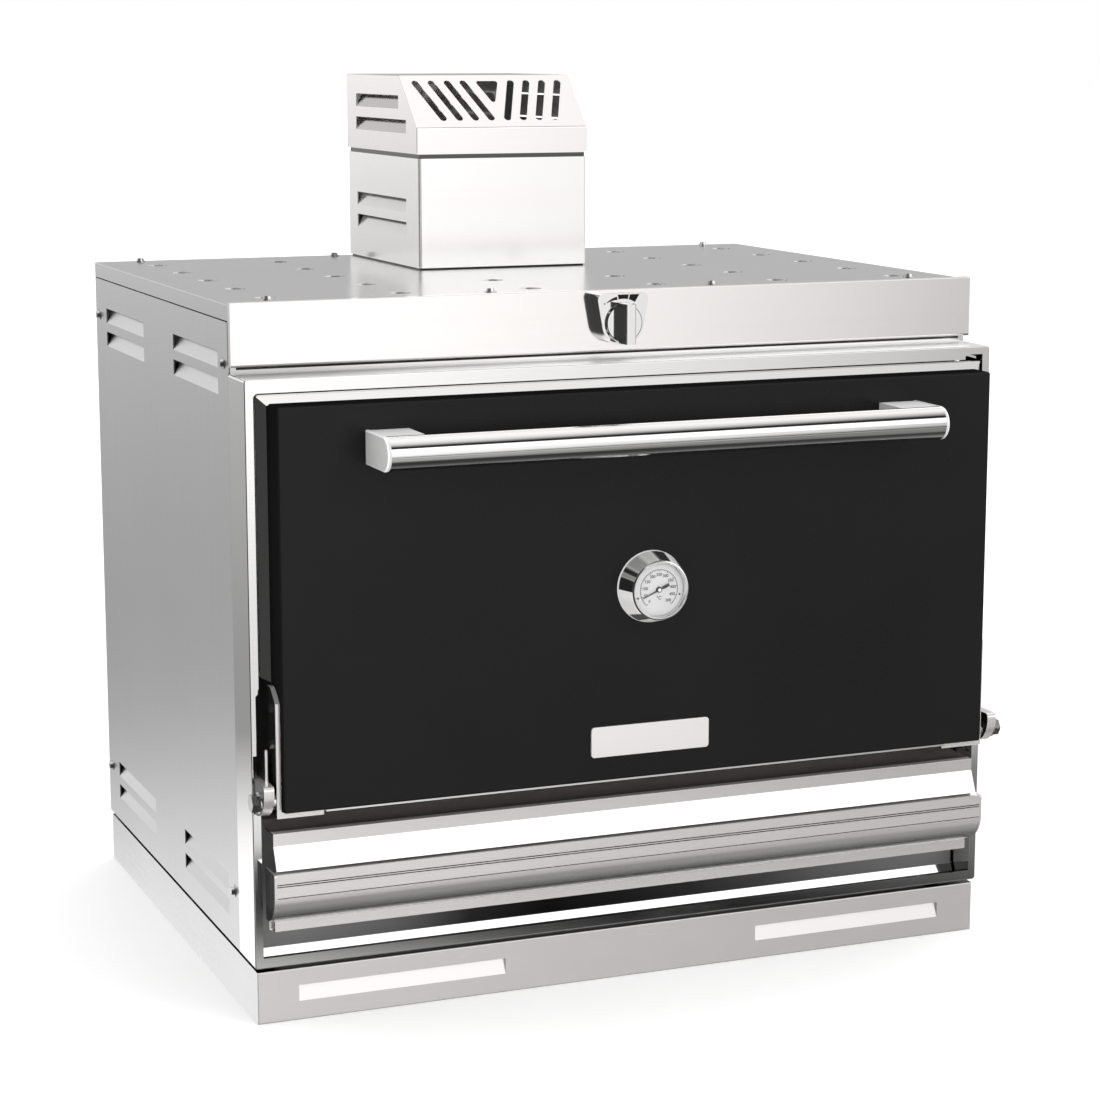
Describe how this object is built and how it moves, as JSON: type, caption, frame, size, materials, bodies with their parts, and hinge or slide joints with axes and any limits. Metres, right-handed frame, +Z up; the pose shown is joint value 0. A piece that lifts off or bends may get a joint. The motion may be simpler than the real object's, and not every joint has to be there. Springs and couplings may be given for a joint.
{
  "type": "charcoal oven",
  "caption": "Free-standing charcoal oven: insulated steel firebox with a drop-down door, ash drawer, flue damper, dial thermometer and vented chimney hood, on a plinth.",
  "frame": {"origin": "middle of the overall footprint on the floor", "axes": "+Z up, front (door) towards -Y, +X to the right seen from the front"},
  "size_m": [0.9888, 0.871, 1.0984],
  "materials": {
    "stainless_brushed": "brushed stainless sheet",
    "stainless_polished": "bright polished stainless",
    "firebox_steel": "bare heat-darkened steel plate",
    "grate_iron": "cast iron",
    "insulation": "ceramic fibre blanket",
    "gasket_rope": "woven fibre seal",
    "bush_brass": "plain bearing",
    "knob_metal": "satin",
    "bolt_steel": "plated fastener",
    "black_enamel": "satin black heat-proof paint",
    "gauge_chrome": "polished",
    "dial_white": "matt white",
    "gauge_glass": "clear",
    "needle_black": "matt black",
    "pad_rubber": "matt"
  },
  "bodies": {
    "oven_body": {"plinth_front": "stainless_brushed", "plinth_frame": "stainless_brushed", "plinth_pads": "pad_rubber", "base_floor": "stainless_brushed", "side_panel_left": "stainless_brushed", "side_panel_right": "stainless_brushed", "back_panel": "stainless_brushed", "top_cover": "stainless_brushed", "fascia": "stainless_polished", "front_frame": "stainless_polished", "door_catch": "stainless_polished", "front_bulkhead": "firebox_steel", "sill_deflector": "stainless_polished", "lower_front_panel": "stainless_polished", "firebox_left_wall": "firebox_steel", "firebox_right_wall": "firebox_steel", "firebox_back_wall": "firebox_steel", "firebox_roof": "firebox_steel", "ash_hopper": "firebox_steel", "fire_grate": "grate_iron", "grate_bearers": "grate_iron", "rack_rail_left": "stainless_brushed", "rack_rail_right": "stainless_brushed", "grill_rack": "stainless_brushed", "body_insulation": "insulation", "roof_insulation": "insulation", "flue_throat": "firebox_steel", "knob_plate": "stainless_polished", "damper_bush": "bush_brass", "chimney_box": "stainless_brushed", "spark_baffle": "stainless_brushed", "hood": "stainless_brushed", "hinge_lug_left": "stainless_polished", "hinge_lug_right": "stainless_polished", "hinge_bolts": "bolt_steel", "cover_screws": "bolt_steel", "drawer_runner_left": "stainless_brushed", "drawer_runner_right": "stainless_brushed"},
    "door": {"door_front_panel": "black_enamel", "door_inner_pan": "stainless_polished", "door_insulation": "insulation", "door_gasket": "gasket_rope", "hinge_bracket_left": "stainless_brushed", "hinge_bracket_right": "stainless_brushed", "bracket_bolts": "bolt_steel", "handle_bar": "stainless_polished", "handle_block_left": "stainless_polished", "handle_block_right": "stainless_polished", "gauge_bezel": "gauge_chrome", "gauge_dial": "dial_white", "gauge_glass": "gauge_glass", "gauge_stem": "stainless_brushed", "badge_plate": "stainless_polished"},
    "needle": {"gauge_needle": "needle_black"},
    "damper": {"damper_knob": "knob_metal", "damper_shaft": "stainless_brushed", "damper_flap": "firebox_steel"},
    "ash_drawer": {"ash_drawer_front": "stainless_polished", "ash_drawer_tray": "stainless_brushed"}
  },
  "joints": [
    {"name": "door_hinge", "type": "hinge", "parent": "oven_body", "child": "door", "pos_m": [0, -0.3345, 0.279], "axis": [1, 0, 0], "range_deg": [0, 90], "stiffness_Nm_per_rad": 45},
    {"name": "needle_pivot", "type": "hinge", "parent": "door", "child": "needle", "pos_m": [0, -0.3786, 0.5015], "axis": [0, 1, 0], "range_deg": [-24, 252], "stiffness_Nm_per_rad": 0.002},
    {"name": "damper_turn", "type": "hinge", "parent": "oven_body", "child": "damper", "pos_m": [-0.005, -0.2785, 0.8103], "axis": [0, 1, 0], "range_deg": [-45, 45]},
    {"name": "drawer_slide", "type": "slide", "parent": "oven_body", "child": "ash_drawer", "axis": [0, -1, 0], "range_m": [0, 0.34]}
  ]
}
